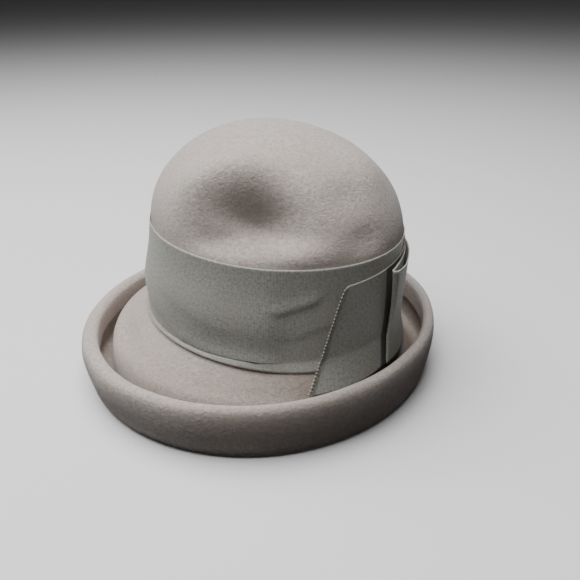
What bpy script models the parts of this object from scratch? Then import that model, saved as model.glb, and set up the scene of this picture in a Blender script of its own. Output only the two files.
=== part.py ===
"""Wool felt hat: a round crown and a rolled brim in one felt sheet, a wide ribbon band and a folded side bow.

The hat stands on its brim. Its front faces -Y, the bow is at its +X side and +Z is up.
The origin lies under the middle of the brim, on the surface that the hat rests on.
"""
import math
from bisect import bisect_right
from functools import lru_cache

import bmesh
import bpy
from mathutils import Euler, Vector

MM = 0.001

# Felt sheet
FELT_THICKNESS = 2.2 * MM
HEAD_WIDTH = 179.4 * MM
HEAD_DEPTH = 197.8 * MM
BAND_LINE_WIDTH = 170.4 * MM
BAND_LINE_DEPTH = 188.2 * MM
CROWN_FOOT_HEIGHT = 52.0 * MM
BAND_TOP_HEIGHT = 110.5 * MM
CROWN_HEIGHT = 177.0 * MM
CROWN_SHIFT_RIGHT = 12.8 * MM
CROWN_SHIFT_FRONT = 5.0 * MM
CROWN_TOP_SHIFT = 3.5 * MM
BAND_LEAN = 4.0 * MM
CROWN_ROUND_ACROSS = 1.05
CROWN_ROUND_UP = 1.02
CROWN_TURN = 10.0
DENT_DEPTH = 10.0 * MM
BAND_HOLD = 5.0 * MM
TIP_FADE = 12

# Brim
BRIM_WIDTH = 257.0 * MM
BRIM_DEPTH = 280.0 * MM
BRIM_TURN = -20.0
BOW_SPREAD = 65.0
ROLL_HEIGHT = 38.5 * MM
ROLL_LEAN = 2.5 * MM
ROLL_WIDTH = 10.0 * MM
ROLL_WIDTH_LEAN = 1.6 * MM

# Ribbon band and bow
RIBBON_WIDTH = 67.0 * MM
RIBBON_THICKNESS = 1.0 * MM
LAY_GAP = 0.4 * MM
TAIL_FRONT_DROP = 13.0 * MM
TAIL_BACK_DROP = 4.0 * MM
BOW_BACK_BEARING = 10.0
TAIL_CORNER_BEARING = -64.0
TAIL_CUT_SLANT = 22.0 * MM
TAIL_CUT_CURVE = 0.8
LOOP_TIP_BEARING = -39.0
LOOP_TIP_DROP = 9.5 * MM
LOOP_BACK_DROP = 13.5 * MM
LOOP_SLANT = 5.0 * MM
LOOP_STAND = 4.9 * MM
LOOP_TAPER = 0.85

# Columns round the hat and rows along each sheet
FELT_COLUMNS = 52
DOME_ROWS = 11
WALL_ROWS = 2
BRIM_ROWS = 32
RIBBON_ROWS = 5
TAIL_COLUMNS = 14
LOOP_LIMB_COLUMNS = 11
LOOP_TURN_COLUMNS = 4
SIDE_SAMPLES = 40

# Steps for measuring a surface's slope, and the distance at which seams close
DROP_STEP = 0.5 * MM
BEARING_STEP = 0.5
WELD_DISTANCE = 0.01 * MM

# Brim sections from the crown's foot to the felt's raw edge.
# Reach is a share of the way from the crown to the brim's outline.
# Foot and roll are shares of the crown foot's height and of the roll's height.
# Inward is a share of the roll's width, back from that reach.
# The bow columns hold where the brim is narrow, beside the bow.
BRIM_SECTIONS = (
    # name           reach  foot   bow_reach  bow_foot  inward  roll
    ("flare_top",    0.06,  0.93,  0.05,      0.84,     0.00,   0.00),
    ("flare",        0.20,  0.83,  0.17,      0.58,     0.00,   0.00),
    ("flare_low",    0.38,  0.70,  0.33,      0.32,     0.00,   0.00),
    ("valley",       0.55,  0.54,  0.46,      0.15,     0.00,   0.00),
    ("bottom_in",    0.59,  0.04,  0.50,      0.04,     0.00,   0.00),
    ("bottom_mid",   0.69,  0.00,  0.61,      0.00,     0.00,   0.00),
    ("bottom_out",   0.76,  0.00,  0.68,      0.00,     0.00,   0.00),
    ("outer_low",    1.00,  0.00,  1.00,      0.00,     0.33,   0.08),
    ("outer",        1.00,  0.00,  1.00,      0.00,     0.10,   0.32),
    ("outer_mid",    1.00,  0.00,  1.00,      0.00,     0.00,   0.65),
    ("outer_high",   1.00,  0.00,  1.00,      0.00,     0.03,   0.86),
    ("shoulder",     1.00,  0.00,  1.00,      0.00,     0.17,   0.96),
    ("crest",        1.00,  0.00,  1.00,      0.00,     0.50,   1.00),
    ("inner_top",    1.00,  0.00,  1.00,      0.00,     0.84,   0.96),
    ("inner",        1.00,  0.00,  1.00,      0.00,     1.00,   0.86),
    ("edge",         1.00,  0.00,  1.00,      0.00,     1.00,   0.55),
)

# Share of the brim's rows that the flare takes
FLARE_SHARE = 5.0 / len(BRIM_SECTIONS)
# Point on the crown's axis at the height of the crown's foot
CROWN_AXIS = Vector((CROWN_SHIFT_RIGHT, -CROWN_SHIFT_FRONT, CROWN_FOOT_HEIGHT))
# Length of one degree of bearing on the crown's wall at the bow
BEARING_LENGTH = 0.25 * (HEAD_WIDTH + HEAD_DEPTH) * math.radians(1.0)
# Loop's length from its back fold to its tip
LOOP_LENGTH = (BOW_BACK_BEARING - LOOP_TIP_BEARING) * BEARING_LENGTH

# Relief of the crown. Height and rises are shares of the crown's height.
# Depth is a share of the dent depth, and below zero where the felt bulges out.
# Bearing and spread are degrees round the crown.
RELIEF = (
    # name              bearing  height  spread  rise_up  rise_down  depth
    ("front_hollow",     -97.0,  0.765,  18.0,   0.075,   0.090,     1.00),
    ("front_shoulder",  -112.0,  0.885,  19.0,   0.040,   0.055,    -1.20),
    ("left_shoulder",   -131.0,  0.835,  12.0,   0.055,   0.075,    -0.50),
    ("left_trail",      -115.0,  0.690,  11.0,   0.050,   0.045,     0.30),
    ("band_ridge",       -87.0,  0.645,  13.0,   0.035,   0.040,    -0.35),
    ("right_hollow",     -55.0,  0.800,  13.0,   0.050,   0.100,     0.22),
    ("right_shoulder",   -23.0,  0.865,  16.0,   0.060,   0.070,    -0.25),
)

# Side bow: how far each limb of the loop stands off the tail, as shares of the loop's stand.
LOOP_LIMBS = (
    # name       along  inner  outer
    ("back",     0.00,  0.00,  0.30),
    ("rear",     0.30,  0.00,  0.40),
    ("belly",    0.62,  0.00,  0.80),
    ("lift",     0.84,  0.20,  0.98),
    ("tip",      1.00,  0.50,  1.12),
)


def spline(rows, share):
    """Read a smooth curve through rows of numbers, at a share of the way from the first row to the last."""
    place = min(max(share, 0.0), 1.0) * (len(rows) - 1)
    first = min(int(place), len(rows) - 2)
    t = place - first
    before = rows[max(first - 1, 0)]
    start = rows[first]
    end = rows[first + 1]
    after = rows[min(first + 2, len(rows) - 1)]
    return [
        0.5 * (2 * b + (c - a) * t + (2 * a - 5 * b + 4 * c - d) * t * t + (3 * b - a - 3 * c + d) * t ** 3)
        for a, b, c, d in zip(before, start, end, after)
    ]


def oval(bearing, width, depth, turn):
    """Point at a bearing on an oval whose long axis is turned from the hat's front."""
    angle = math.radians(bearing - turn)
    point = Vector((0.5 * width * math.cos(angle), 0.5 * depth * math.sin(angle), 0.0))
    point.rotate(Euler((0.0, 0.0, math.radians(turn))))
    return point


def crown_oval(bearing, width, depth, left):
    """Point on one of the crown's ovals, moved left."""
    return oval(bearing, width, depth, CROWN_TURN) + CROWN_AXIS - Vector((left, 0.0, CROWN_AXIS.z))


def rim_point(bearing):
    """Point on the brim's outline."""
    return oval(bearing, BRIM_WIDTH, BRIM_DEPTH, BRIM_TURN)


def band_top_height(bearing):
    """Height of the band's upper edge, which leans with the crown."""
    return BAND_TOP_HEIGHT - BAND_LEAN * math.cos(math.radians(bearing))


def around(bearing, middle):
    """Degrees from a middle bearing, the short way round."""
    return (bearing - middle + 180.0) % 360.0 - 180.0


def dent_depth(bearing, height):
    """Depth of the dents at a place on the crown, held back to nothing at the band's upper edge."""
    depth = 0.0
    for _, middle, level, spread, rise_up, rise_down, share in RELIEF:
        aside = around(bearing, middle)
        above = height / CROWN_HEIGHT - level
        rise = rise_down + (rise_up - rise_down) * (0.5 + 0.5 * math.tanh(1.5 * above / rise_up))
        depth += share * DENT_DEPTH * math.exp(-(aside / spread) ** 2 - (above / rise) ** 2)
    held = min(max((height - band_top_height(bearing)) / BAND_HOLD, 0.0), 1.0)
    return depth * held * held * (3.0 - 2.0 * held)


def wall_point(bearing, up):
    """Head side of the felt on the crown's wall, from the crown's foot at 0 to the band's upper edge at 1."""
    width = HEAD_WIDTH + (BAND_LINE_WIDTH - HEAD_WIDTH) * up
    depth = HEAD_DEPTH + (BAND_LINE_DEPTH - HEAD_DEPTH) * up
    point = crown_oval(bearing, width, depth, 0.0)
    point.z = CROWN_FOOT_HEIGHT + (band_top_height(bearing) - CROWN_FOOT_HEIGHT) * up
    return point


def dome_point(bearing, up):
    """Head side of the felt over the crown, from the band's upper edge at 0 to the tip at 1."""
    angle = 0.5 * math.pi * up
    inward = max(math.cos(angle), 0.0) ** CROWN_ROUND_ACROSS
    lean = band_top_height(bearing) - BAND_TOP_HEIGHT
    rise = CROWN_HEIGHT - FELT_THICKNESS - BAND_TOP_HEIGHT
    point = crown_oval(bearing, BAND_LINE_WIDTH * inward, BAND_LINE_DEPTH * inward, CROWN_TOP_SHIFT * up ** 2)
    point.z = BAND_TOP_HEIGHT + lean * inward + rise * math.sin(angle) ** CROWN_ROUND_UP
    outward = point - CROWN_AXIS
    outward.z = (point.z - BAND_TOP_HEIGHT) * (0.25 * (BAND_LINE_WIDTH + BAND_LINE_DEPTH) / rise) ** 2
    return point - outward.normalized() * dent_depth(bearing, point.z) * (1.0 - up ** TIP_FADE)


def brim_point(bearing, out):
    """Head side of the felt on the brim, from the crown's foot at 0 to the raw edge at 1."""
    foot = wall_point(bearing, 0.0)
    rim = rim_point(bearing)
    rim.z = foot.z
    lean = math.cos(math.radians(bearing))
    roll_height = ROLL_HEIGHT + ROLL_LEAN * lean
    roll_width = ROLL_WIDTH - ROLL_WIDTH_LEAN * lean
    back = (foot - rim).normalized() * roll_width
    by_bow = math.exp(-(around(bearing, 0.0) / BOW_SPREAD) ** 2)
    rows = [wall_point(bearing, 0.2), foot]
    for _, reach, of_foot, bow_reach, bow_foot, inward, of_roll in BRIM_SECTIONS:
        point = foot.lerp(rim, reach + (bow_reach - reach) * by_bow) + back * inward
        point.z = (of_foot + (bow_foot - of_foot) * by_bow) * CROWN_FOOT_HEIGHT + of_roll * roll_height
        rows.append(point)
    sections = len(rows) - 1
    point = Vector(spline(rows, (1.0 + out * (sections - 1.0)) / sections))
    point.z = max(point.z, 0.0)
    return point


def felt_point(bearing, up):
    """Head side of the felt, from the brim's raw edge at 0 to the tip at 1, row by row."""
    row = up * (BRIM_ROWS + WALL_ROWS + DOME_ROWS)
    if row <= BRIM_ROWS:
        return brim_point(bearing, 1.0 - row / BRIM_ROWS)
    row -= BRIM_ROWS
    if row <= WALL_ROWS:
        return wall_point(bearing, row / WALL_ROWS)
    return dome_point(bearing, (row - WALL_ROWS) / DOME_ROWS)


@lru_cache(maxsize=None)
def side_curve(bearing):
    """Points down the crown's wall and on down the flare to the brim's bottom, and how far down each lies."""
    points = [wall_point(bearing, 1.0 - step / SIDE_SAMPLES) for step in range(SIDE_SAMPLES)]
    points += [brim_point(bearing, FLARE_SHARE * step / SIDE_SAMPLES) for step in range(SIDE_SAMPLES + 1)]
    drops = [0.0]
    for above, below in zip(points, points[1:]):
        drops.append(drops[-1] + (below - above).length)
    return points, drops


def side_point(bearing, drop):
    """Head side of the felt, at a distance down from the band's upper edge."""
    points, drops = side_curve(bearing)
    last = len(drops) - 1
    place = min(max(bisect_right(drops, drop), 1), last)
    share = (drop - drops[place - 1]) / (drops[place] - drops[place - 1])
    return points[place - 1].lerp(points[place], share)


def laid_point(bearing, drop, stand):
    """Point that stands off the felt's outer face, at a bearing and a distance down from the band's edge."""
    around = side_point(bearing + BEARING_STEP, drop) - side_point(bearing - BEARING_STEP, drop)
    down = side_point(bearing, drop + DROP_STEP) - side_point(bearing, drop - DROP_STEP)
    outward = down.cross(around).normalized()
    return side_point(bearing, drop) + outward * (FELT_THICKNESS + stand)


def material(name, colour, roughness):
    """Plain cloth material."""
    made = bpy.data.materials.new(name)
    made.use_nodes = True
    shader = made.node_tree.nodes["Principled BSDF"]
    shader.inputs["Base Color"].default_value = (*colour, 1.0)
    shader.inputs["Roughness"].default_value = roughness
    shader.inputs["Metallic"].default_value = 0.0
    return made


def sheet(name, columns, rows, place, thickness, finish):
    """Grid laid out by a function of two shares, closed at its seams and thickened to its outer side."""
    mesh = bpy.data.meshes.new(name)
    grid = bmesh.new()
    bmesh.ops.create_grid(grid, x_segments=columns, y_segments=rows, size=0.5)
    for vertex in grid.verts:
        vertex.co = place(vertex.co.x + 0.5, vertex.co.y + 0.5)
    bmesh.ops.remove_doubles(grid, verts=grid.verts, dist=WELD_DISTANCE)
    grid.to_mesh(mesh)
    grid.free()
    mesh.materials.append(finish)
    mesh.shade_smooth()
    piece = bpy.data.objects.new(name, mesh)
    hat.objects.link(piece)
    shell = piece.modifiers.new("Thickness", "SOLIDIFY")
    shell.thickness = thickness
    shell.offset = 1.0
    shell.use_even_offset = True
    return piece


def felt_body():
    """Crown and brim in one sheet of felt."""
    def place(around, up):
        return felt_point(360.0 * around, up)
    finish = material("wool_felt", (0.53, 0.46, 0.40), 0.95)
    return sheet("felt_body", FELT_COLUMNS, BRIM_ROWS + WALL_ROWS + DOME_ROWS, place, FELT_THICKNESS, finish)


def ribbon_band():
    """Ribbon laid round the crown as a closed ring."""
    def place(around, up):
        return laid_point(360.0 * around, RIBBON_WIDTH * (1.0 - up), LAY_GAP)
    finish = material("band_ribbon", (0.26, 0.26, 0.23), 0.75)
    return sheet("ribbon_band", FELT_COLUMNS, RIBBON_ROWS, place, RIBBON_THICKNESS, finish)


def bow_tail():
    """Cut end of the bow's ribbon, laid over the band and on down the flare."""
    stand = 2.0 * LAY_GAP + RIBBON_THICKNESS

    def place(back, up):
        slant = TAIL_CUT_SLANT * (1.0 - up) ** TAIL_CUT_CURVE / BEARING_LENGTH
        front = TAIL_CORNER_BEARING - slant
        bearing = front + (BOW_BACK_BEARING - front) * back
        forward = (BOW_BACK_BEARING - bearing) / (BOW_BACK_BEARING - TAIL_CORNER_BEARING)
        edge = TAIL_BACK_DROP + (TAIL_FRONT_DROP - TAIL_BACK_DROP) * forward
        return laid_point(bearing, edge + RIBBON_WIDTH * (1.0 - up), stand)
    finish = material("tail_ribbon", (0.24, 0.24, 0.21), 0.75)
    return sheet("bow_tail", TAIL_COLUMNS, RIBBON_ROWS, place, RIBBON_THICKNESS, finish)


def loop_route(share):
    """Bearing and stand along the loop: forward on the inner limb, round the tip, back, and round again."""
    rows = [row[1:] for row in LOOP_LIMBS]
    turn = LOOP_TURN_COLUMNS
    limb = LOOP_LIMB_COLUMNS
    step = share * 2.0 * (limb + turn)
    if step <= limb:
        along, inner, _ = spline(rows, step / limb)
        return along, inner
    if step <= limb + turn:
        along, inner, outer = rows[-1]
        angle = math.pi * (step - limb) / turn
        middle = 0.5 * (inner + outer)
        half = 0.5 * (outer - inner)
        return along + half * LOOP_STAND / LOOP_LENGTH * math.sin(angle), middle - half * math.cos(angle)
    if step <= 2.0 * limb + turn:
        along, _, outer = spline(rows, 1.0 - (step - limb - turn) / limb)
        return along, outer
    along, inner, outer = rows[0]
    angle = math.pi * (step - 2.0 * limb - turn) / turn
    middle = 0.5 * (inner + outer)
    half = 0.5 * (outer - inner)
    return along - half * LOOP_STAND / LOOP_LENGTH * math.sin(angle), middle + half * math.cos(angle)


def bow_loop():
    """Loop of ribbon folded flat against the tail, open at its top and bottom."""
    base = 3.0 * (LAY_GAP + RIBBON_THICKNESS)

    def place(around, up):
        along, stand = loop_route(around)
        down = 1.0 - up
        tip = LOOP_TIP_BEARING - LOOP_SLANT * down / BEARING_LENGTH
        bearing = BOW_BACK_BEARING + (tip - BOW_BACK_BEARING) * along
        edge = LOOP_BACK_DROP + (LOOP_TIP_DROP - LOOP_BACK_DROP) * along
        opening = LOOP_STAND * (1.0 - LOOP_TAPER * down)
        return laid_point(bearing, edge + RIBBON_WIDTH * down, base + stand * opening)
    finish = material("loop_ribbon", (0.22, 0.22, 0.20), 0.75)
    columns = 2 * (LOOP_LIMB_COLUMNS + LOOP_TURN_COLUMNS)
    return sheet("bow_loop", columns, RIBBON_ROWS, place, RIBBON_THICKNESS, finish)


for old in list(bpy.data.objects):
    bpy.data.objects.remove(old, do_unlink=True)
hat = bpy.data.collections.new("wool_hat")
bpy.context.scene.collection.children.link(hat)
felt_body()
ribbon_band()
bow_tail()
bow_loop()
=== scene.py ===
"""Dressed wool felt hat: brushed felt, a picot-edged ribbon band and a folded side bow, in a pale studio.

The felt and the ribbons are laid out by the same named sizes as the hat's construction, in metres.
Front is -Y, the bow is at +X and +Z is up.
"""

import math

import bmesh
import bpy
import numpy as np
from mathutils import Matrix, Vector, noise


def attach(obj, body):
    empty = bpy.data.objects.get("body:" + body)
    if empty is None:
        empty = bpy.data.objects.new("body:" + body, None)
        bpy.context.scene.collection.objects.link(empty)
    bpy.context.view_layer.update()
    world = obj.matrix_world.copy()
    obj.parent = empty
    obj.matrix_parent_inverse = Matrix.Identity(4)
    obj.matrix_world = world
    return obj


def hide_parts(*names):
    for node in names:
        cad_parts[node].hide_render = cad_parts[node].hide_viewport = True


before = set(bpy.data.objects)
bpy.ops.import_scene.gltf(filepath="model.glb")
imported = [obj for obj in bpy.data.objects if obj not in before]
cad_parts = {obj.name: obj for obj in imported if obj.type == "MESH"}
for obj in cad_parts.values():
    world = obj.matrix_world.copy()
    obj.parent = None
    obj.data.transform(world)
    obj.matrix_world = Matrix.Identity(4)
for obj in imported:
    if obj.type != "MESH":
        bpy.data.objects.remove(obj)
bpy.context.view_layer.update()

MM = 0.001

# Felt sheet
FELT_THICKNESS = 2.2 * MM
HEAD_WIDTH = 179.4 * MM
HEAD_DEPTH = 197.8 * MM
BAND_LINE_WIDTH = 170.4 * MM
BAND_LINE_DEPTH = 188.2 * MM
CROWN_FOOT_HEIGHT = 52.0 * MM
BAND_TOP_HEIGHT = 110.5 * MM
CROWN_HEIGHT = 177.0 * MM
CROWN_SHIFT_RIGHT = 12.8 * MM
CROWN_SHIFT_FRONT = 5.0 * MM
CROWN_TOP_SHIFT = 3.5 * MM
BAND_LEAN = 4.0 * MM
CROWN_ROUND_ACROSS = 1.05
CROWN_ROUND_UP = 1.02
CROWN_TURN = 10.0
DENT_DEPTH = 12.0 * MM
BAND_HOLD = 5.0 * MM
TIP_FADE = 12
RIPPLE = 0.5 * MM
RIPPLE_LENGTH = 28.0 * MM
RIPPLE_DOME_FADE = 6.0
RIPPLE_ROLL_FADE = 8.0
RIPPLE_ROLL_SHARE = 0.7
RIPPLE_FLOOR_GAP = 3.0 * MM
RIPPLE_FLOOR_FADE = 12.0 * MM

# Brim
BRIM_WIDTH = 257.0 * MM
BRIM_DEPTH = 280.0 * MM
BRIM_TURN = -20.0
ROLL_HEIGHT = 38.5 * MM
ROLL_LEAN = 2.5 * MM
ROLL_WIDTH = 10.0 * MM
ROLL_WIDTH_LEAN = 1.6 * MM
BOW_TUCK = 7.5 * MM
FLARE_DENT_DEPTH = 4.8 * MM
FLARE_DENT_BEARING = -160.0
FLARE_DENT_SPREAD = 8.0
FLARE_DENT_MIDDLE = 0.6
FLARE_DENT_REACH = 0.15

# Ribbon band and bow
RIBBON_WIDTH = 67.0 * MM
RIBBON_THICKNESS = 0.6 * MM
LAY_GAP = 0.4 * MM
HEM_CURL = 1.8 * MM
HEM_WIDTH = 5.0 * MM
HEM_BEARING = -165.0
HEM_SPREAD = 50.0
HEM_BRIDGE = 2.1 * MM
HEM_BRIDGE_MIDDLE = 0.10 * RIBBON_WIDTH
HEM_BRIDGE_SPREAD = 0.085 * RIBBON_WIDTH
BAND_BULGE = 2.8 * MM
BAND_BULGE_MIDDLE = 0.45 * RIBBON_WIDTH
BAND_BULGE_SPREAD = 0.28 * RIBBON_WIDTH
BAND_RIPPLE = 0.5 * MM
CREASE_RISE = 1.5 * MM
CREASE_SLOPE = 3.5
PICOT_PITCH = 1.6 * MM
PICOT_DEPTH = 0.7 * MM
EDGE_CROWDING = 0.3
COVER_FRONT_BEARING = -96.0
COVER_BACK_BEARING = 24.0
COVER_FADE = 12.0
TAIL_FRONT_DROP = 13.0 * MM
TAIL_BACK_DROP = 4.0 * MM
BOW_BACK_BEARING = 10.0
TAIL_CORNER_BEARING = -64.0
TAIL_CUT_SLANT = 22.0 * MM
TAIL_CUT_CURVE = 0.8
TAIL_LIFT = 1.7 * MM
TAIL_LIFT_WIDTH = 6.0 * MM
SAW_PITCH = 2.2 * MM
SAW_DEPTH = 1.5 * MM
LOOP_TIP_BEARING = -40.0
LOOP_TIP_DROP = 9.5 * MM
LOOP_BACK_DROP = 13.5 * MM
LOOP_WAIST = 4.5 * MM
LOOP_STAND = 4.9 * MM
LOOP_TAPER = 0.8

# Fineness of the sheets
FELT_COLUMNS = 216
DOME_ROWS = 44
WALL_ROWS = 14
BRIM_ROWS = 96
FELT_ROWS = BRIM_ROWS + WALL_ROWS + DOME_ROWS
BAND_ROWS = 46
STEPS_PER_TOOTH = 2
TAIL_ROWS = 128
LOOP_LIMB_COLUMNS = 88
LOOP_TURN_COLUMNS = 18
LOOP_ROWS = 30
SIDE_SAMPLES = 40
DROP_STEP = 0.5 * MM
BEARING_STEP = 0.5
WELD_DISTANCE = 0.005 * MM

# Brim sections from the crown's foot to the felt's raw edge.
# Reach is a share of the way from the crown to the brim's outline.
# Foot and roll are shares of the crown foot's height and of the roll's height.
# Inward is a share of the roll's width, back from that reach.
# The bow columns hold where the brim is narrow, beside the bow.
BRIM_SECTIONS = (
    # name           reach  foot   bow_reach  bow_foot  inward  roll
    ("flare_top",    0.06,  0.93,  0.03,      0.85,     0.00,   0.00),
    ("flare",        0.20,  0.83,  0.10,      0.61,     0.00,   0.00),
    ("flare_low",    0.38,  0.70,  0.21,      0.35,     0.00,   0.00),
    ("valley",       0.55,  0.54,  0.37,      0.14,     0.00,   0.00),
    ("bottom_in",    0.59,  0.04,  0.50,      0.04,     0.00,   0.00),
    ("bottom_mid",   0.69,  0.00,  0.61,      0.00,     0.00,   0.00),
    ("bottom_out",   0.76,  0.00,  0.68,      0.00,     0.00,   0.00),
    ("outer_low",    1.00,  0.00,  1.00,      0.00,     0.50,   0.08),
    ("outer",        1.00,  0.00,  1.00,      0.00,     0.26,   0.30),
    ("outer_mid",    1.00,  0.00,  1.00,      0.00,     0.04,   0.58),
    ("outer_high",   1.00,  0.00,  1.00,      0.00,     0.00,   0.80),
    ("shoulder",     1.00,  0.00,  1.00,      0.00,     0.14,   0.94),
    ("crest",        1.00,  0.00,  1.00,      0.00,     0.50,   1.00),
    ("inner_top",    1.00,  0.00,  1.00,      0.00,     0.84,   0.96),
    ("inner",        1.00,  0.00,  1.00,      0.00,     1.00,   0.86),
    ("edge",         1.00,  0.00,  1.00,      0.00,     1.00,   0.55),
)
BOW_SPREAD = 65.0
FLARE_SECTIONS = 5
FLARE_SHARE = FLARE_SECTIONS / len(BRIM_SECTIONS)

# Relief of the crown. Height and rises are shares of the crown's height.
# Depth is a share of the dent depth, and below zero where the felt bulges out.
RELIEF = (
    # name              bearing  height  spread  rise_up  rise_down  depth
    ("front_hollow",     -98.0,  0.775,  20.0,   0.068,   0.085,     1.38),
    ("front_shoulder",  -112.0,  0.885,  19.0,   0.040,   0.055,    -1.00),
    ("left_shoulder",   -131.0,  0.835,  12.0,   0.055,   0.075,    -0.50),
    ("left_trail",      -115.0,  0.690,  11.0,   0.050,   0.045,     0.38),
    ("band_ridge",       -87.0,  0.660,  13.0,   0.030,   0.040,    -0.12),
    ("right_hollow",     -55.0,  0.800,  13.0,   0.050,   0.100,     0.22),
    ("low_hollow",       -90.0,  0.715,  17.0,   0.050,   0.045,     0.48),
    ("right_low",        -51.0,  0.680,  10.0,   0.045,   0.045,     0.20),
    ("right_shoulder",   -23.0,  0.865,  16.0,   0.060,   0.070,    -0.25),
)

# Creases in the band, as bearings in degrees and shares of the ribbon's width down from its upper edge.
CREASES = (
    # name         bearing  drop   to_bearing  to_drop  width  rise
    ("middle",     -90.0,   0.40,  -76.0,      0.30,    0.022,  0.6),
    ("left_low",  -166.0,   0.62,  -130.0,     0.84,    0.050,  0.6),
    ("left_mid",  -146.0,   0.44,  -112.0,     0.60,    0.060,  0.3),
    ("right",      -84.0,   0.62,  -70.0,      0.52,    0.040,  0.3),
)

# Side bow: how far each limb of the loop stands off the tail, as shares of the loop's stand.
LOOP_LIMBS = (
    # name       along  inner  outer
    ("back",     0.00,  0.00,  0.30),
    ("rear",     0.30,  0.00,  0.30),
    ("belly",    0.62,  0.00,  0.60),
    ("lift",     0.84,  0.35,  1.20),
    ("tip",      1.00,  0.85,  1.50),
)

TAIL_CUT_LENGTH = math.hypot(RIBBON_WIDTH, TAIL_CUT_SLANT)
BEARING_LENGTH = 0.25 * (HEAD_WIDTH + HEAD_DEPTH) * math.radians(1.0)
BAND_LENGTH = 360.0 * BEARING_LENGTH
LOOP_LENGTH = (BOW_BACK_BEARING - LOOP_TIP_BEARING) * BEARING_LENGTH
TAIL_LENGTH = (BOW_BACK_BEARING - TAIL_CORNER_BEARING) * BEARING_LENGTH + TAIL_CUT_SLANT
CROWN_AXIS = np.array((CROWN_SHIFT_RIGHT, -CROWN_SHIFT_FRONT, CROWN_FOOT_HEIGHT))

# Finishes
FELT_SHADE = (0.40, 0.335, 0.295, 1.0)
FELT_LIGHT = (0.66, 0.60, 0.55, 1.0)
FELT_PINK = (0.56, 0.45, 0.40, 1.0)
# Painted shade for the brim's hollow inside the roll
TROUGH_PAINTED_SHADE = (0.16, 0.105, 0.072, 1.0)
RIBBON_SHADE = (0.21, 0.21, 0.182, 1.0)
RIBBON_LIGHT = (0.475, 0.475, 0.435, 1.0)
RIBBON_WARM = (0.42, 0.375, 0.315, 1.0)
# Painted shade for the tail's cut end: between its saw teeth and where it tucks in beside the loop
PAINTED_SHADE_COLOUR = (0.05, 0.048, 0.04, 1.0)
PICOT_COLOUR = (0.80, 0.76, 0.64, 1.0)
FLOOR_COLOUR = (0.90, 0.90, 0.90, 1.0)
RIB_PITCH = 0.9 * MM
RIB_SHARE = 0.14
RIB_HEIGHT = 0.05 * MM
FLECK_SIZE = 0.75 * MM
FLECK_STRETCH = (0.4, 1.0, 1.0)
FLECK_SHARE = 0.56
FLECK_HEIGHT = 0.10 * MM
GRAIN_SIZE = 2.2 * MM
GRAIN_SHARE = 0.30
GRAIN_HEIGHT = 0.10 * MM
WARM_SIZE = 26.0 * MM
WARM_SHARE = 0.35
SELVEDGE_EDGE = (0.05 * MM, 0.45 * MM)
CUT_EDGE = (1.2 * MM, 2.0 * MM)
# Painted shade strip on the tail beside the loop's front fold: its width, softness and strength
TUCK_WIDTH = 5.6 * MM
TUCK_SOFTNESS = 1.2 * MM
TUCK_SHADE_SHARE = 0.93
PINK_SIZE = 45.0 * MM
PINK_SHARE = 0.35
MATTED_SIZE = 2.6 * MM
MATTED_SQUASH = (1.0, 1.0, 1.3)
MATTED_HEIGHT = 0.60 * MM
FIBRE_SIZE = 1.2 * MM
FIBRE_HEIGHT = 0.45 * MM
# Where the painted shade in the brim's hollow lies: inside these shares of the brim's outline, below these
# heights, and stronger on the bow's side
TROUGH_OUTLINE = (0.80, 0.93)
TROUGH_TOP = (0.85 * ROLL_HEIGHT, 1.4 * ROLL_HEIGHT)
TROUGH_SHADE_SHARE = 0.2
TROUGH_BOW_SHADE_SHARE = 0.75
TROUGH_BOW_EDGE = (0.1, 0.6)
FELT_CONSTANTS = {"Sheen Weight": 0.35, "Sheen Roughness": 0.6, "Specular IOR Level": 0.15}
RIBBON_CONSTANTS = {"Sheen Weight": 0.15, "Sheen Roughness": 0.4, "Specular IOR Level": 0.4}

# Camera and studio
AIM = Vector((0.0218, 0.0, 0.0503))
CAMERA_DISTANCE = 0.5276
CAMERA_BEARING = -0.44
CAMERA_ELEVATION = 25.25
LENS = 43.7
FLOOR_SIZE = 24.0
KEY_LIGHT = ((-0.35, 0.0, 1.30), (0.0, 0.0, 0.08), 1.5, 40.0)
FILL_LIGHT = ((0.0, -2.2, 0.9), (0.0, 0.0, 0.08), 1.2, 0.8)
WORLD_COLOUR = (1.0, 1.0, 1.0, 1.0)
WORLD_STRENGTH = 0.03


def spline(rows, share):
    """Read a smooth curve through rows of numbers, at shares of the way from the first row to the last."""
    rows = np.asarray(rows, float)
    place = np.clip(share, 0.0, 1.0) * (len(rows) - 1)
    first = np.minimum(place.astype(int), len(rows) - 2)
    t = place - first
    each = np.arange(len(first)) if rows.ndim == 3 else None

    def row(index):
        index = np.clip(index, 0, len(rows) - 1)
        return rows[index] if each is None else rows[index, each]
    a, b, c, d = row(first - 1), row(first), row(first + 1), row(first + 2)
    t = t[:, None]
    square = (2.0 * a - 5.0 * b + 4.0 * c - d) * t ** 2
    cube = (3.0 * b - a - 3.0 * c + d) * t ** 3
    return 0.5 * (2.0 * b + (c - a) * t + square + cube)


def points(x, y, z):
    """Points from their coordinates."""
    return np.stack(np.broadcast_arrays(x, y, z), axis=-1).astype(float)


def unit(vectors):
    """Vectors of length one."""
    return vectors / np.linalg.norm(vectors, axis=-1, keepdims=True)


def oval(bearing, width, depth, turn):
    """Points at bearings on an oval whose long axis is turned from the hat's front."""
    angle = np.radians(bearing - turn)
    x = 0.5 * width * np.cos(angle)
    y = 0.5 * depth * np.sin(angle)
    lean = math.radians(turn)
    return points(x * math.cos(lean) - y * math.sin(lean), x * math.sin(lean) + y * math.cos(lean), 0.0)


def crown_oval(bearing, width, depth, left, height):
    """Points on the crown's ovals, moved left and set at their heights."""
    return oval(bearing, width, depth, CROWN_TURN) + points(CROWN_AXIS[0] - left, CROWN_AXIS[1], height)


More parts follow.
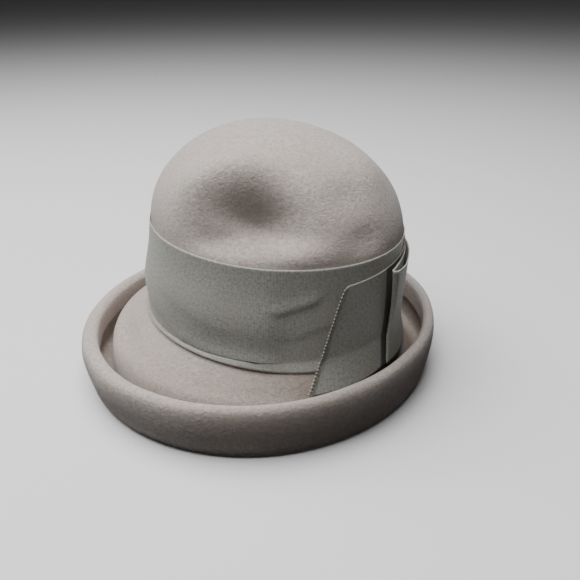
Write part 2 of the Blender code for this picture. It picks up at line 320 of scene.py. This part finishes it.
def hump(place, middle, spread):
    """Soft rise that is 1 at the middle and fades with distance."""
    return np.exp(-((place - middle) / spread) ** 2)


def eased(share):
    """Share from 0 to 1 with soft ends, held there beyond them."""
    share = np.clip(share, 0.0, 1.0)
    return share * share * (3.0 - 2.0 * share)


def around(bearing, middle):
    """Degrees from a middle bearing, the short way round."""
    return (bearing - middle + 180.0) % 360.0 - 180.0


def band_top_height(bearing):
    """Height of the band's upper edge, which leans with the crown."""
    return BAND_TOP_HEIGHT - BAND_LEAN * np.cos(np.radians(bearing))


def dent_depth(bearing, height):
    """Depth of the dents at places on the crown."""
    depth = 0.0
    for _, middle, level, spread, rise_up, rise_down, share in RELIEF:
        above = height / CROWN_HEIGHT - level
        rise = rise_down + (rise_up - rise_down) * (0.5 + 0.5 * np.tanh(1.5 * above / rise_up))
        depth = depth + share * hump(around(bearing, middle), 0.0, spread) * hump(above, 0.0, rise)
    return DENT_DEPTH * depth


def wall_point(bearing, up):
    """Head side of the felt on the crown's wall, from the crown's foot at 0 to the band's upper edge at 1."""
    width = HEAD_WIDTH + (BAND_LINE_WIDTH - HEAD_WIDTH) * up
    depth = HEAD_DEPTH + (BAND_LINE_DEPTH - HEAD_DEPTH) * up
    height = CROWN_FOOT_HEIGHT + (band_top_height(bearing) - CROWN_FOOT_HEIGHT) * up
    left = BOW_TUCK * (1.0 - up) * hump(around(bearing, 0.0), 0.0, BOW_SPREAD)
    return crown_oval(bearing, width, depth, left, height)


def dome_point(bearing, up):
    """Head side of the felt over the crown, from the band's upper edge at 0 to the tip at 1."""
    angle = 0.5 * math.pi * up
    inward = np.maximum(np.cos(angle), 0.0) ** CROWN_ROUND_ACROSS
    lean = band_top_height(bearing) - BAND_TOP_HEIGHT
    rise = CROWN_HEIGHT - FELT_THICKNESS - BAND_TOP_HEIGHT
    height = BAND_TOP_HEIGHT + lean * inward + rise * np.sin(angle) ** CROWN_ROUND_UP
    left = CROWN_TOP_SHIFT * up ** 2
    point = crown_oval(bearing, BAND_LINE_WIDTH * inward, BAND_LINE_DEPTH * inward, left, height)
    outward = point - CROWN_AXIS
    outward[..., 2] = (height - BAND_TOP_HEIGHT) * (0.25 * (BAND_LINE_WIDTH + BAND_LINE_DEPTH) / rise) ** 2
    held = eased((height - band_top_height(bearing)) / BAND_HOLD) * (1.0 - up ** TIP_FADE)
    return point - unit(outward) * (held * dent_depth(bearing, height))[..., None]


def brim_point(bearing, out):
    """Head side of the felt on the brim, from the crown's foot at 0 to the raw edge at 1."""
    foot = wall_point(bearing, np.zeros_like(bearing))
    rim = oval(bearing, BRIM_WIDTH, BRIM_DEPTH, BRIM_TURN)
    lean = np.cos(np.radians(bearing))
    roll_height = ROLL_HEIGHT + ROLL_LEAN * lean
    roll_width = ROLL_WIDTH - ROLL_WIDTH_LEAN * lean
    back = unit((foot - rim) * (1.0, 1.0, 0.0)) * roll_width[:, None]
    by_bow = hump(around(bearing, 0.0), 0.0, BOW_SPREAD)
    rows = [wall_point(bearing, np.full_like(bearing, 0.2)), foot]
    for _, reach, of_foot, bow_reach, bow_foot, inward, of_roll in BRIM_SECTIONS:
        row = foot + (rim - foot) * (reach + (bow_reach - reach) * by_bow)[:, None] + back * inward
        row[:, 2] = (of_foot + (bow_foot - of_foot) * by_bow) * CROWN_FOOT_HEIGHT + of_roll * roll_height
        rows.append(row)
    sections = len(rows) - 1
    point = spline(np.stack(rows), (1.0 + out * (sections - 1.0)) / sections)
    point[:, 2] = np.maximum(point[:, 2], 0.0)
    return point


def felt_point(bearing, up):
    """Head side of the felt, from the brim's raw edge at 0 to the tip at 1, row by row."""
    row = up * FELT_ROWS
    brim = brim_point(bearing, np.clip(1.0 - row / BRIM_ROWS, 0.0, 1.0))
    wall = wall_point(bearing, np.clip((row - BRIM_ROWS) / WALL_ROWS, 0.0, 1.0))
    dome = dome_point(bearing, np.clip((row - BRIM_ROWS - WALL_ROWS) / DOME_ROWS, 0.0, 1.0))
    on_brim = (row < BRIM_ROWS)[:, None]
    on_wall = (row < BRIM_ROWS + WALL_ROWS)[:, None]
    return np.where(on_brim, brim, np.where(on_wall, wall, dome))


def side_point(bearing, drop):
    """Head side of the felt, at distances down from the band's upper edge."""
    wall_shares = [1.0 - step / SIDE_SAMPLES for step in range(SIDE_SAMPLES)]
    flare_shares = [FLARE_SHARE * step / SIDE_SAMPLES for step in range(SIDE_SAMPLES + 1)]
    wall = [wall_point(bearing, np.full_like(bearing, share)) for share in wall_shares]
    flare = [brim_point(bearing, np.full_like(bearing, share)) for share in flare_shares]
    down = np.stack(wall + flare)
    drops = np.cumsum(np.linalg.norm(np.diff(down, axis=0), axis=-1), axis=0)
    drops = np.concatenate([np.zeros((1, len(bearing))), drops])
    place = np.clip((drops <= drop).sum(axis=0), 1, len(drops) - 1)
    each = np.arange(len(bearing))
    before, after = drops[place - 1, each], drops[place, each]
    share = ((drop - before) / (after - before))[:, None]
    return down[place - 1, each] * (1.0 - share) + down[place, each] * share


def laid_point(bearing, drop, stand):
    """Points that stand off the felt's outer face, at bearings and distances down from the band's edge."""
    sideways = side_point(bearing + BEARING_STEP, drop) - side_point(bearing - BEARING_STEP, drop)
    down = side_point(bearing, drop + DROP_STEP) - side_point(bearing, drop - DROP_STEP)
    outward = unit(np.cross(down, sideways))
    return side_point(bearing, drop) + outward * (FELT_THICKNESS + stand)[:, None]


def covered(bearing):
    """Share of the band at each bearing that lies under the bow, from 0 in the open to 1."""
    near_bow = around(bearing, 0.0)
    front = eased((near_bow - COVER_FRONT_BEARING) / COVER_FADE)
    return front * eased((COVER_BACK_BEARING - near_bow) / COVER_FADE)


def crease_rise(bearing, drop):
    """Height of the creases in the band, which rise gently from above and drop off sharply below."""
    rise = 0.0
    for _, bearing_a, drop_a, bearing_b, drop_b, width, share in CREASES:
        middle = 0.5 * (bearing_a + bearing_b)
        run = (bearing_b - bearing_a) * BEARING_LENGTH
        fall = (drop_b - drop_a) * RIBBON_WIDTH
        along = (around(bearing, middle) + middle - bearing_a) * BEARING_LENGTH
        down = drop - drop_a * RIBBON_WIDTH
        share_along = np.clip((along * run + down * fall) / (run * run + fall * fall), 0.0, 1.0)
        aside = along - share_along * run
        below = down - share_along * fall
        under = (below * run - aside * fall) / math.hypot(run, fall)
        above = 0.5 - 0.5 * np.tanh(under / (0.5 * width * RIBBON_WIDTH))
        spread = width * RIBBON_WIDTH * (1.0 + (CREASE_SLOPE - 1.0) * above)
        rise = rise + share * hump(np.hypot(aside, below), 0.0, spread)
    return CREASE_RISE * rise


def edge_spaced(share):
    """Shares across a ribbon, closer together near both edges."""
    return (1.0 - EDGE_CROWDING) * share + EDGE_CROWDING * (0.5 - 0.5 * np.cos(math.pi * share))


def picots(along, across, row_width):
    """How far the picot loops stand out past the ribbon's edges: down at one edge and up at the other."""
    tooth = 0.5 - 0.5 * np.cos(2.0 * math.pi * along / PICOT_PITCH)
    low = np.clip(1.0 - across / row_width, 0.0, 1.0)
    high = np.clip(1.0 - (RIBBON_WIDTH - across) / row_width, 0.0, 1.0)
    return PICOT_DEPTH * tooth * (low - high)


def sheet(name, columns, rows, place, thickness, finish):
    """Grid laid out by a function of two lists of shares, welded at its seams and thickened outward."""
    mesh = bpy.data.meshes.new(name)
    grid = bmesh.new()
    lay = grid.loops.layers.uv.new("lay")
    bmesh.ops.create_grid(grid, x_segments=columns, y_segments=rows, size=0.5)
    shares = np.array([vertex.co[:2] for vertex in grid.verts]) + 0.5
    placed, flat = place(shares[:, 0], shares[:, 1])
    for face in grid.faces:
        for corner in face.loops:
            corner[lay].uv = flat[corner.vert.index]
    for vertex, point in zip(grid.verts, placed):
        vertex.co = point
    bmesh.ops.remove_doubles(grid, verts=grid.verts, dist=WELD_DISTANCE)
    grid.to_mesh(mesh)
    grid.free()
    mesh.materials.append(finish)
    mesh.shade_smooth()
    piece = bpy.data.objects.new(name, mesh)
    bpy.context.scene.collection.objects.link(piece)
    shell = piece.modifiers.new("Thickness", "SOLIDIFY")
    shell.thickness = thickness
    shell.offset = 1.0
    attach(piece, "root")
    return piece


def felt_body(finish):
    """Crown and brim in one sheet of felt, with its dents and a slight unevenness."""
    def place(around_share, up):
        bearing = 90.0 + 360.0 * around_share
        point = felt_point(bearing, up)
        outward = unit((point - CROWN_AXIS) * (1.0, 1.0, 0.6) + (0.0, 0.0, 1e-6))
        wave = np.array([noise.noise(Vector(spot) / RIPPLE_LENGTH) for spot in point])
        row = up * FELT_ROWS
        on_dome = np.clip((row - BRIM_ROWS - WALL_ROWS) / RIPPLE_DOME_FADE, 0.0, 1.0)
        on_roll = np.clip((RIPPLE_ROLL_SHARE * BRIM_ROWS - row) / RIPPLE_ROLL_FADE, 0.0, 1.0)
        down_flare = (1.0 - row / BRIM_ROWS) / FLARE_SHARE
        dent = hump(around(bearing, FLARE_DENT_BEARING), 0.0, FLARE_DENT_SPREAD)
        dent = dent * hump(down_flare, FLARE_DENT_MIDDLE, FLARE_DENT_REACH)
        point[:, 2] = point[:, 2] - FLARE_DENT_DEPTH * dent
        off_floor = np.clip((point[:, 2] - RIPPLE_FLOOR_GAP) / RIPPLE_FLOOR_FADE, 0.0, 1.0)
        point = point + outward * (RIPPLE * wave * (on_dome + on_roll) * off_floor)[:, None]
        return point, np.stack([around_share, up], axis=-1)
    return sheet("felt", FELT_COLUMNS, FELT_ROWS, place, FELT_THICKNESS, finish)


def ribbon_band(finish):
    """Ribbon laid round the crown, with picot edges, a hem that curls outward and soft creases."""
    def place(around_share, up):
        bearing = 90.0 + 360.0 * around_share
        across = RIBBON_WIDTH * edge_spaced(up)
        first_row = RIBBON_WIDTH * edge_spaced(1.0 / BAND_ROWS)
        along = BAND_LENGTH * around_share
        drop = RIBBON_WIDTH - across + picots(along, across, first_row)
        free = 1.0 - covered(bearing)
        turned = hump(around(bearing, HEM_BEARING), 0.0, HEM_SPREAD)
        curl = HEM_CURL * turned * np.clip(1.0 - across / HEM_WIDTH, 0.0, 1.0) ** 2
        bulge = BAND_BULGE * hump(across, BAND_BULGE_MIDDLE, BAND_BULGE_SPREAD)
        bulge = bulge + HEM_BRIDGE * (1.0 - turned) * hump(across, HEM_BRIDGE_MIDDLE, HEM_BRIDGE_SPREAD)
        wave = np.array([noise.noise(Vector(spot)) for spot in points(along, across, 0.0) / RIPPLE_LENGTH])
        from_seam = np.clip(np.minimum(along, BAND_LENGTH - along) / RIPPLE_LENGTH, 0.0, 1.0)
        ripple = BAND_RIPPLE * (0.5 + wave) * from_seam
        stand = LAY_GAP + free * (curl + bulge + ripple) + crease_rise(bearing, drop)
        return laid_point(bearing, drop, stand), np.stack([along, across], axis=-1)
    columns = round(BAND_LENGTH / PICOT_PITCH) * STEPS_PER_TOOTH
    return sheet("band", columns, BAND_ROWS, place, RIBBON_THICKNESS, finish)


def bow_tail(finish):
    """Cut end of the bow's ribbon, with a saw-toothed cut that lifts off the band."""
    def place(back, up):
        slant = TAIL_CUT_SLANT * (1.0 - up) ** TAIL_CUT_CURVE / BEARING_LENGTH
        front = TAIL_CORNER_BEARING - slant
        from_cut = (BOW_BACK_BEARING - front) * BEARING_LENGTH * back
        saw = np.abs(2.0 * np.mod(up * TAIL_CUT_LENGTH / SAW_PITCH, 1.0) - 1.0)
        inset = SAW_DEPTH * saw * np.clip(1.0 - from_cut / (4.0 * SAW_DEPTH), 0.0, 1.0)
        bearing = front + (from_cut + inset) / BEARING_LENGTH
        forward = (BOW_BACK_BEARING - bearing) / (BOW_BACK_BEARING - TAIL_CORNER_BEARING)
        edge = TAIL_BACK_DROP + (TAIL_FRONT_DROP - TAIL_BACK_DROP) * forward
        along = (bearing - BOW_BACK_BEARING) * BEARING_LENGTH + TAIL_LENGTH
        across = RIBBON_WIDTH * up
        tooth = picots(along, across, RIBBON_WIDTH / TAIL_ROWS)
        drop = edge + RIBBON_WIDTH - across + tooth
        lift = TAIL_LIFT * np.clip(1.0 - from_cut / TAIL_LIFT_WIDTH, 0.0, 1.0) ** 2
        stand = 2.0 * LAY_GAP + RIBBON_THICKNESS + lift + crease_rise(bearing, drop)
        return laid_point(bearing, drop, stand), np.stack([along, across], axis=-1)
    columns = 2 * round(TAIL_LENGTH / PICOT_PITCH)
    return sheet("tail", columns, TAIL_ROWS, place, RIBBON_THICKNESS, finish)


def loop_route(share):
    """Bearing and stand along the loop: forward on the inner limb, round the tip, back, and round again."""
    rows = [row[1:] for row in LOOP_LIMBS]
    turn = LOOP_TURN_COLUMNS
    limb = LOOP_LIMB_COLUMNS
    step = share * 2.0 * (limb + turn)
    inner_limb = spline(rows, step / limb)
    outer_limb = spline(rows, 1.0 - (step - limb - turn) / limb)

    def bend(row, angle, forward):
        along, inner, outer = row
        half = 0.5 * (outer - inner)
        reach = half * LOOP_STAND / LOOP_LENGTH * np.sin(angle)
        stand = 0.5 * (inner + outer) - forward * half * np.cos(angle)
        return np.stack([along + forward * reach, stand], axis=-1)
    front_bend = bend(rows[-1], math.pi * (step - limb) / turn, 1.0)
    back_bend = bend(rows[0], math.pi * (step - 2.0 * limb - turn) / turn, -1.0)
    stage = step[:, None]
    route = np.where(stage <= 2.0 * limb + turn, outer_limb[:, (0, 2)], back_bend)
    route = np.where(stage <= limb + turn, front_bend, route)
    return np.where(stage <= limb, inner_limb[:, (0, 1)], route).T


def loop_waist(down):
    """How far the loop's front fold draws back, at shares of the way down it."""
    return 4.0 * LOOP_WAIST * down * (1.0 - down)


def bow_loop(finish):
    """Loop of ribbon folded flat against the tail, open at its top and bottom."""
    base = 3.0 * (LAY_GAP + RIBBON_THICKNESS)

    def place(around_share, up):
        along, stand = loop_route(around_share)
        across = RIBBON_WIDTH * edge_spaced(up)
        first_row = RIBBON_WIDTH * edge_spaced(1.0 / LOOP_ROWS)
        length = 2.0 * LOOP_LENGTH * around_share
        down = 1.0 - across / RIBBON_WIDTH
        tip = LOOP_TIP_BEARING + loop_waist(down) / BEARING_LENGTH
        bearing = BOW_BACK_BEARING + (tip - BOW_BACK_BEARING) * along
        edge = LOOP_BACK_DROP + (LOOP_TIP_DROP - LOOP_BACK_DROP) * along
        opening = LOOP_STAND * (1.0 - LOOP_TAPER * down)
        drop = edge + RIBBON_WIDTH * down + picots(length, across, first_row)
        return laid_point(bearing, drop, base + stand * opening), np.stack([length, across], axis=-1)
    columns = 2 * (LOOP_LIMB_COLUMNS + LOOP_TURN_COLUMNS)
    return sheet("loop", columns, LOOP_ROWS, place, RIBBON_THICKNESS, finish)


# Places of the colour sockets on a mixing node
MIX_SHARE = 0
MIX_FIRST = 6
MIX_SECOND = 7
MIX_RESULT = 2


class Value:
    """A number or vector in a finish. Plain arithmetic on it adds the maths nodes."""

    def __init__(self, finish, socket):
        self.finish = finish
        self.socket = socket

    def __add__(self, other):
        return self.finish.maths("ADD", self, other)

    def __radd__(self, other):
        return self.finish.maths("ADD", other, self)

    def __sub__(self, other):
        return self.finish.maths("SUBTRACT", self, other)

    def __rsub__(self, other):
        return self.finish.maths("SUBTRACT", other, self)

    def __mul__(self, other):
        return self.finish.maths("MULTIPLY", self, other)

    def __rmul__(self, other):
        return self.finish.maths("MULTIPLY", other, self)

    def __truediv__(self, other):
        return self.finish.maths("DIVIDE", self, other)

    def __rtruediv__(self, other):
        return self.finish.maths("DIVIDE", other, self)

    def sine(self):
        return self.finish.maths("SINE", self)

    def beads(self, pitch):
        """Row of beads at a pitch: 0 in the gaps, which start at 0, and 1 in the middle of each bead."""
        return 0.5 - 0.5 * (self * (2.0 * math.pi / pitch) + 0.5 * math.pi).sine()

    def between(self, low, high):
        """0 below the low number, 1 above the high one, and smooth in between."""
        inputs = {"Value": self, "From Min": low, "From Max": high, "To Min": 0.0, "To Max": 1.0}
        return self.finish.add("ShaderNodeMapRange", {"interpolation_type": "SMOOTHSTEP"}, inputs)


class Finish:
    """A procedural surface built on one Principled shader."""

    def __init__(self, name, constants):
        self.material = bpy.data.materials.new(name)
        self.material.use_nodes = True
        self.tree = self.material.node_tree
        self.shader = self.tree.nodes["Principled BSDF"]
        for socket, value in constants.items():
            self.shader.inputs[socket].default_value = value

    def feed(self, socket, value):
        if isinstance(value, Value):
            self.tree.links.new(value.socket, socket)
        else:
            socket.default_value = value

    def add(self, kind, settings, inputs, output=0):
        """Node of a kind, with its settings made first and then its inputs. Gives one of its outputs."""
        node = self.tree.nodes.new(kind)
        for setting, value in settings.items():
            setattr(node, setting, value)
        for socket, value in inputs.items():
            self.feed(node.inputs[socket], value)
        return Value(self, node.outputs[output])

    def maths(self, operation, *numbers):
        return self.add("ShaderNodeMath", {"operation": operation}, dict(enumerate(numbers)))

    def parts(self, place):
        """The three numbers of a place."""
        return [self.add("ShaderNodeSeparateXYZ", {}, {0: place}, output=part) for part in range(3)]

    def mix(self, share, first, second):
        """Colour part of the way from the first to the second."""
        inputs = {MIX_SHARE: share, MIX_FIRST: first, MIX_SECOND: second}
        return self.add("ShaderNodeMix", {"data_type": "RGBA"}, inputs, output=MIX_RESULT)

    def stretched(self, place, scale):
        """Place scaled by its own share along each axis."""
        return self.add("ShaderNodeVectorMath", {"operation": "MULTIPLY"}, {0: place, 1: scale})

    def mottle(self, place, size, detail=2.0, roughness=0.5, distortion=0.0):
        """Cloudy variation from 0 to 1 whose patches have a size in metres."""
        inputs = {"Vector": place, "Scale": 1.0 / size, "Detail": detail, "Roughness": roughness,
                  "Distortion": distortion}
        return self.add("ShaderNodeTexNoise", {}, inputs)

    def raised(self, height):
        """Normal that shows a height in metres."""
        return self.add("ShaderNodeBump", {}, {"Strength": 1.0, "Distance": 1.0, "Height": height})

    def close(self, colour, roughness, height):
        self.feed(self.shader.inputs["Base Color"], colour)
        self.feed(self.shader.inputs["Roughness"], roughness)
        self.feed(self.shader.inputs["Normal"], self.raised(height))
        return self.material


def felt_finish():
    """Brushed wool felt: pale pinkish ecru, mottled by its matted fibres, with painted shade in the brim's
    hollow inside the roll, darkest beside the bow.
    """
    felt = Finish("brushed_felt", FELT_CONSTANTS)
    place = felt.add("ShaderNodeTexCoord", {}, {}, output="Object")
    pink = felt.mottle(place, PINK_SIZE, detail=3.0)
    squashed = felt.stretched(place, MATTED_SQUASH)
    matted = felt.mottle(squashed, MATTED_SIZE, detail=3.0, roughness=0.6, distortion=0.6)
    fibres = felt.mottle(place, FIBRE_SIZE, detail=3.0, roughness=0.65, distortion=1.5)
    tone = (matted * 0.5 + fibres * 0.5).between(0.32, 0.68)
    colour = felt.mix(tone, FELT_SHADE, FELT_LIGHT)
    colour = felt.mix(pink.between(0.35, 0.70) * PINK_SHARE, colour, FELT_PINK)
    # Painted shade: the felt darkens to a dark brown inside the roll and below its top, a little all round
    # and most on the bow's side, where the crown and bow shade it
    x, y, z = felt.parts(place)
    across = x / (0.5 * BRIM_WIDTH)
    ahead = y / (0.5 * BRIM_DEPTH)
    inside = 1.0 - (across * across + ahead * ahead).between(*TROUGH_OUTLINE)
    trough_shade = inside * (1.0 - z.between(*TROUGH_TOP))
    share = TROUGH_SHADE_SHARE + TROUGH_BOW_SHADE_SHARE * across.between(*TROUGH_BOW_EDGE)
    colour = felt.mix(trough_shade * share, colour, TROUGH_PAINTED_SHADE)
    height = matted * MATTED_HEIGHT + fibres * FIBRE_HEIGHT
    return felt.close(colour, 0.95 - 0.08 * fibres, height)


def ribbon_finish(name, cut=False):
    """Woven ribbon: fine ribs across its width, flecked sage grey threads and pale picot edges.

    A cut end is pale along its saw teeth, with painted shadow in the gaps between the teeth and painted shade
    where it tucks in beside the loop.
    """
    ribbon = Finish(name, RIBBON_CONSTANTS)
    lay = ribbon.add("ShaderNodeUVMap", {"uv_map": "lay"}, {})
    along, across, _ = ribbon.parts(lay)
    rib = 0.5 + 0.5 * (along * (2.0 * math.pi / RIB_PITCH)).sine()
    fleck = ribbon.mottle(ribbon.stretched(lay, FLECK_STRETCH), FLECK_SIZE, roughness=0.6)
    grain = ribbon.mottle(lay, GRAIN_SIZE, detail=3.0)
    warm = ribbon.mottle(lay, WARM_SIZE, detail=3.0)
    weave = (RIB_SHARE * rib + FLECK_SHARE * fleck + GRAIN_SHARE * grain).between(0.28, 0.68)
    from_edge = ribbon.maths("MINIMUM", across, RIBBON_WIDTH - across)
    selvedge = (1.0 - from_edge.between(*SELVEDGE_EDGE)) * (0.1 + 0.6 * along.beads(PICOT_PITCH))
    colour = ribbon.mix(weave, RIBBON_SHADE, RIBBON_LIGHT)
    colour = ribbon.mix(warm.between(0.45, 0.70) * WARM_SHARE, colour, RIBBON_WARM)
    if cut:
        down = 1.0 - across / RIBBON_WIDTH
        from_cut = along - TAIL_CUT_SLANT * (1.0 - ribbon.maths("POWER", down, TAIL_CUT_CURVE))
        tooth = across.beads(SAW_PITCH * RIBBON_WIDTH / TAIL_CUT_LENGTH)
        at_cut = 1.0 - from_cut.between(*CUT_EDGE)
        # Painted shadow: the tail darkens in the gaps between its saw teeth along the cut
        colour = ribbon.mix(at_cut * (1.0 - tooth), colour, PAINTED_SHADE_COLOUR)
        selvedge = ribbon.maths("MAXIMUM", selvedge, at_cut * tooth)
        # Painted shade: a dark strip on the tail where it tucks in beside the loop's front fold
        to_loop = TAIL_LENGTH - LOOP_LENGTH + loop_waist(down) - along
        tuck_shade = 1.0 - (to_loop - TUCK_WIDTH * down).between(-TUCK_SOFTNESS, TUCK_SOFTNESS)
        colour = ribbon.mix(tuck_shade * TUCK_SHADE_SHARE, colour, PAINTED_SHADE_COLOUR)
    colour = ribbon.mix(selvedge, colour, PICOT_COLOUR)
    height = rib * RIB_HEIGHT + fleck * FLECK_HEIGHT + grain * GRAIN_HEIGHT
    return ribbon.close(colour, 0.62 - 0.1 * grain, height)


def plain_finish(name, colour, roughness):
    """One plain matt colour."""
    made = Finish(name, {"Base Color": colour, "Roughness": roughness, "Specular IOR Level": 0.2})
    return made.material


def floor():
    """Large pale floor under the hat."""
    mesh = bpy.data.meshes.new("floor")
    plane = bmesh.new()
    bmesh.ops.create_grid(plane, x_segments=1, y_segments=1, size=0.5 * FLOOR_SIZE)
    plane.to_mesh(mesh)
    plane.free()
    mesh.materials.append(plain_finish("pale_floor", FLOOR_COLOUR, 0.9))
    piece = bpy.data.objects.new("floor", mesh)
    bpy.context.scene.collection.objects.link(piece)
    piece.visible_diffuse = False


def softbox(name, place, target, size, power):
    """Square soft light aimed at a place."""
    light = bpy.data.lights.new(name, "AREA")
    light.shape = "SQUARE"
    light.size = size
    light.energy = power
    lamp = bpy.data.objects.new(name, light)
    lamp.location = place
    lamp.rotation_euler = (Vector(target) - Vector(place)).to_track_quat("-Z", "Y").to_euler()
    bpy.context.scene.collection.objects.link(lamp)


def studio():
    """Soft daylight from the upper left, a weak fill and the camera at the hat's front."""
    softbox("key", *KEY_LIGHT)
    softbox("fill", *FILL_LIGHT)
    world = bpy.data.worlds.new("studio")
    world.use_nodes = True
    world.node_tree.nodes["Background"].inputs["Color"].default_value = WORLD_COLOUR
    world.node_tree.nodes["Background"].inputs["Strength"].default_value = WORLD_STRENGTH
    bpy.context.scene.world = world
    camera = bpy.data.cameras.new("camera")
    camera.lens = LENS
    camera.sensor_width = 36.0
    lift = math.radians(CAMERA_ELEVATION)
    side = math.radians(CAMERA_BEARING)
    away = Vector((math.sin(side) * math.cos(lift), -math.cos(side) * math.cos(lift), math.sin(lift)))
    holder = bpy.data.objects.new("camera", camera)
    holder.location = AIM + away * CAMERA_DISTANCE
    holder.rotation_euler = (-away).to_track_quat("-Z", "Y").to_euler()
    bpy.context.scene.collection.objects.link(holder)
    bpy.context.scene.camera = holder


felt = felt_body(felt_finish())
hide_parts("felt_body")
band = ribbon_band(ribbon_finish("band_ribbon_weave"))
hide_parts("ribbon_band")
tail = bow_tail(ribbon_finish("tail_ribbon_weave", cut=True))
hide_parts("bow_tail")
loop = bow_loop(ribbon_finish("loop_ribbon_weave"))
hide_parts("bow_loop")
floor()
studio()
